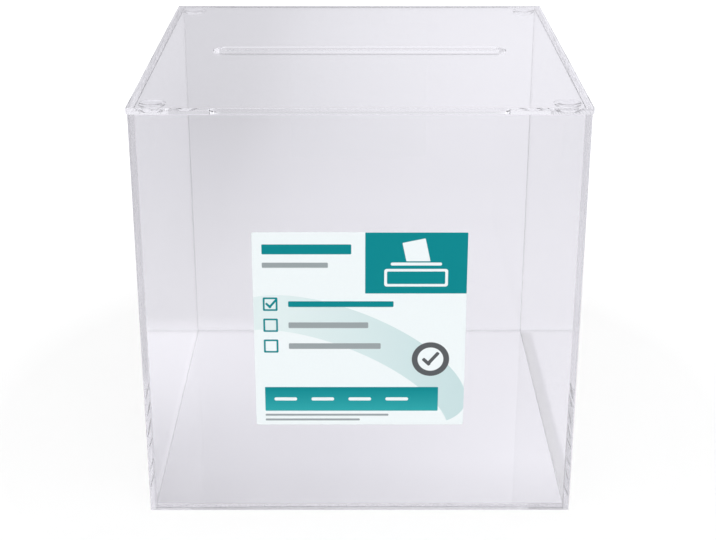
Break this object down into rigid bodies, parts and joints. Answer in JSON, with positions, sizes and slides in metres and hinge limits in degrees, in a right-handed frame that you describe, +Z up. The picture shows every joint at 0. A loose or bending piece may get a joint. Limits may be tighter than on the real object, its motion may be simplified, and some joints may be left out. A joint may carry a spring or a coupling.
{
  "type": "ballot box",
  "caption": "Clear acrylic ballot box: five cemented sheets, a loose lid with a long round-ended slot, four locating studs and a square paper label.",
  "frame": {"origin": "centre of the underside, on the surface that the box stands on", "axes": "+Z up through the lid, -Y out of the labelled front, +X to the right as seen from the front"},
  "size_m": [0.2116, 0.2116, 0.2101],
  "materials": {
    "acrylic_sheet": "polished",
    "cement": "gloss",
    "clear_stud": "gloss",
    "label_paper": "satin"
  },
  "bodies": {
    "box": {"base_panel": "acrylic_sheet", "front_panel": "acrylic_sheet", "rear_panel": "acrylic_sheet", "left_panel": "acrylic_sheet", "right_panel": "acrylic_sheet", "seam_front_left": "cement", "seam_front_right": "cement", "seam_rear_left": "cement", "seam_rear_right": "cement", "seam_base_front": "cement", "seam_base_rear": "cement", "seam_base_left": "cement", "seam_base_right": "cement", "label": "label_paper"},
    "lid": {"lid_panel": "acrylic_sheet", "lid_stud_front_left": "clear_stud", "lid_stud_front_right": "clear_stud", "lid_stud_rear_left": "clear_stud", "lid_stud_rear_right": "clear_stud"}
  },
  "joints": [
    {"name": "lid_lift", "type": "slide", "parent": "box", "child": "lid", "axis": [0, 0, 1], "range_m": [0, 0.08]}
  ]
}
